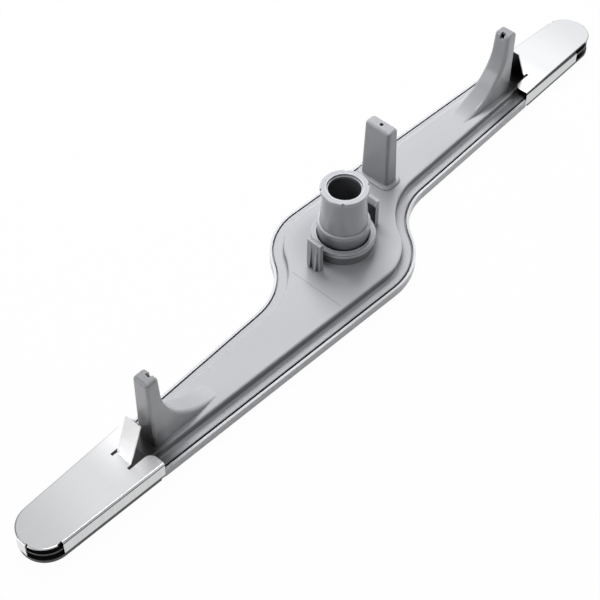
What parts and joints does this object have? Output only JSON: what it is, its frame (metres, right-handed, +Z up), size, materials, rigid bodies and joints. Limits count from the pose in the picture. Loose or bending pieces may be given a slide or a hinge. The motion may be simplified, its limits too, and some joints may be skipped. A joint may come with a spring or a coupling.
{
  "type": "dishwasher spray arm",
  "caption": "Slim S-shaped water arm with a turning tapered spigot, curved horn nozzles, a tower nozzle and folded steel end clips.",
  "frame": {"origin": "on the turning axis of the spigot, at the flat underside of the arm", "axes": "+X along the arm towards the half that carries the tower nozzle, +Z up the turning axis towards the spigot's rim"},
  "size_m": [0.49, 0.0812, 0.0562],
  "materials": {
    "shell_plastic": "fine satin moulding",
    "spigot_plastic": "fine satin moulding",
    "plug_plastic": "black moulding",
    "clip_steel": "bright rolled stainless"
  },
  "bodies": {
    "arm": {"lower_shell": "shell_plastic", "upper_shell": "shell_plastic", "hub_bush": "spigot_plastic", "left_end_plug": "plug_plastic", "right_end_plug": "plug_plastic", "left_end_clip": "clip_steel", "right_end_clip": "clip_steel"},
    "spigot": {"spigot": "spigot_plastic"}
  },
  "joints": [
    {"name": "spigot_turn", "type": "hinge", "parent": "arm", "child": "spigot", "pos_m": [0, 0, 0.0197], "axis": [0, 0, 1], "continuous": true}
  ]
}
